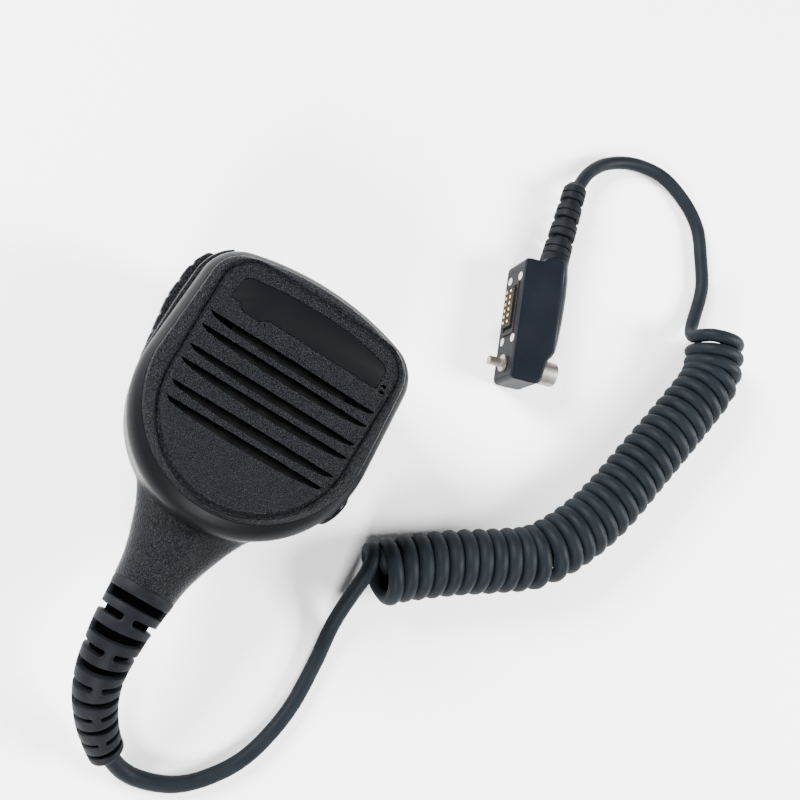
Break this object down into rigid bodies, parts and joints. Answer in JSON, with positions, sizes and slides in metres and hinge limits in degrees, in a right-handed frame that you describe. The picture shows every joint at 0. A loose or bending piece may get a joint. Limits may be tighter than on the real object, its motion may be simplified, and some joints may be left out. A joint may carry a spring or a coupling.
{
  "type": "speaker microphone",
  "caption": "Black remote speaker microphone with slotted grille, side talk button, belt clip, curly cord and side-mount radio plug.",
  "frame": {"origin": "on the clip arm's flat outer face, straight below the axis of the clip's swivel", "axes": "+Z out of the grille, +Y towards the top of the head, +X the side of the earphone jack"},
  "size_m": [0.1731, 0.2616, 0.0451],
  "materials": {
    "shell_plastic": "textured",
    "button_rubber": "textured",
    "cord_rubber": "matt",
    "cap_rubber": "gloss",
    "seal_rubber": "matt",
    "label_film": "satin",
    "black_plastic": "satin",
    "cloth_black": "matt",
    "screw_steel": "satin",
    "plate_steel": "satin",
    "spring_steel": "polished",
    "magnet_grey": "matt",
    "can_aluminium": "satin",
    "board_green": "gloss",
    "connector_white": "satin",
    "wire_red": "satin",
    "paper_cone": "matt",
    "brass": "polished",
    "contact_gold": "polished"
  },
  "bodies": {
    "microphone": {"front_cover": "shell_plastic", "rear_shell": "shell_plastic", "shell_gasket": "seal_rubber", "housing_screws": "screw_steel", "label_plate": "label_film", "grille_cloth": "cloth_black", "speaker_gasket": "seal_rubber", "speaker_frame": "plate_steel", "speaker_yoke": "screw_steel", "speaker_magnet": "magnet_grey", "speaker_surround": "seal_rubber", "speaker_clamp": "plate_steel", "speaker_clamp_screws": "screw_steel", "microphone_boot": "seal_rubber", "microphone_capsule": "can_aluminium", "circuit_board": "board_green", "board_components": "black_plastic", "board_screws": "screw_steel", "lead_connector": "connector_white", "inner_wires": "wire_red", "talk_switch": "black_plastic", "talk_bracket": "plate_steel", "talk_pin": "screw_steel", "jack_socket": "black_plastic", "jack_cap_hinge": "cap_rubber", "cable_clamp": "plate_steel", "cable_clamp_screws": "screw_steel", "strain_relief": "cord_rubber", "swivel_insert": "brass", "swivel_washer": "black_plastic", "swivel_screw": "screw_steel", "lead_cord": "cord_rubber", "coil_cord": "cord_rubber", "tail_cord": "cord_rubber", "plug_relief": "cord_rubber", "plug_housing": "shell_plastic", "plug_base": "black_plastic", "plug_base_screws": "screw_steel", "plug_seal": "seal_rubber", "contact_block": "black_plastic", "plug_contacts": "contact_gold"},
    "talk_button": {"talk_button": "button_rubber"},
    "plunger": {"switch_plunger": "connector_white"},
    "cap": {"jack_cap": "cap_rubber"},
    "speaker_coil": {"speaker_cone": "paper_cone"},
    "clip": {"clip_plate": "black_plastic", "clip_pin": "screw_steel", "clip_spring": "spring_steel"},
    "arm": {"clip_arm": "black_plastic"},
    "plug_screw": {"fixing_screw": "screw_steel", "screw_clip": "spring_steel"}
  },
  "joints": [
    {"name": "talk_press", "type": "hinge", "parent": "microphone", "child": "talk_button", "pos_m": [-0.0267, -0.0005, 0.023], "axis": [0, 0, -1], "range_deg": [0, 3], "stiffness_Nm_per_rad": 0.8},
    {"name": "plunger_slide", "type": "slide", "parent": "microphone", "child": "plunger", "axis": [1, 0, 0], "range_m": [0, 0.000681]},
    {"name": "cap_swing", "type": "hinge", "parent": "microphone", "child": "cap", "pos_m": [0.03294, -0.01333, 0.0167], "axis": [0.2588, 0.9659, 0], "range_deg": [0, 110]},
    {"name": "clip_swivel", "type": "hinge", "parent": "microphone", "child": "clip", "pos_m": [0, 0, 0.0075], "axis": [0, 0, 1], "continuous": true},
    {"name": "clip_jaw", "type": "hinge", "parent": "clip", "child": "arm", "pos_m": [0, 0.022, 0.0055], "axis": [1, 0, 0], "range_deg": [0, 25], "stiffness_Nm_per_rad": 0.3, "springref_deg": -20.05, "deforming": ["clip_spring"]},
    {"name": "cone_stroke", "type": "slide", "parent": "microphone", "child": "speaker_coil", "axis": [0, 0, 1], "range_m": [-0.0004, 0.0004], "stiffness_N_per_m": 800, "deforming": ["speaker_surround"]},
    {"name": "fixing_turn", "type": "hinge", "parent": "microphone", "child": "plug_screw", "pos_m": [0.0705, 0.06179, 0.007], "axis": [0.9397, 0.342, 0], "continuous": true}
  ],
  "couplings": [
    {"joint": "plunger_slide", "follows": "talk_press", "m_per_rad": 0.013}
  ]
}
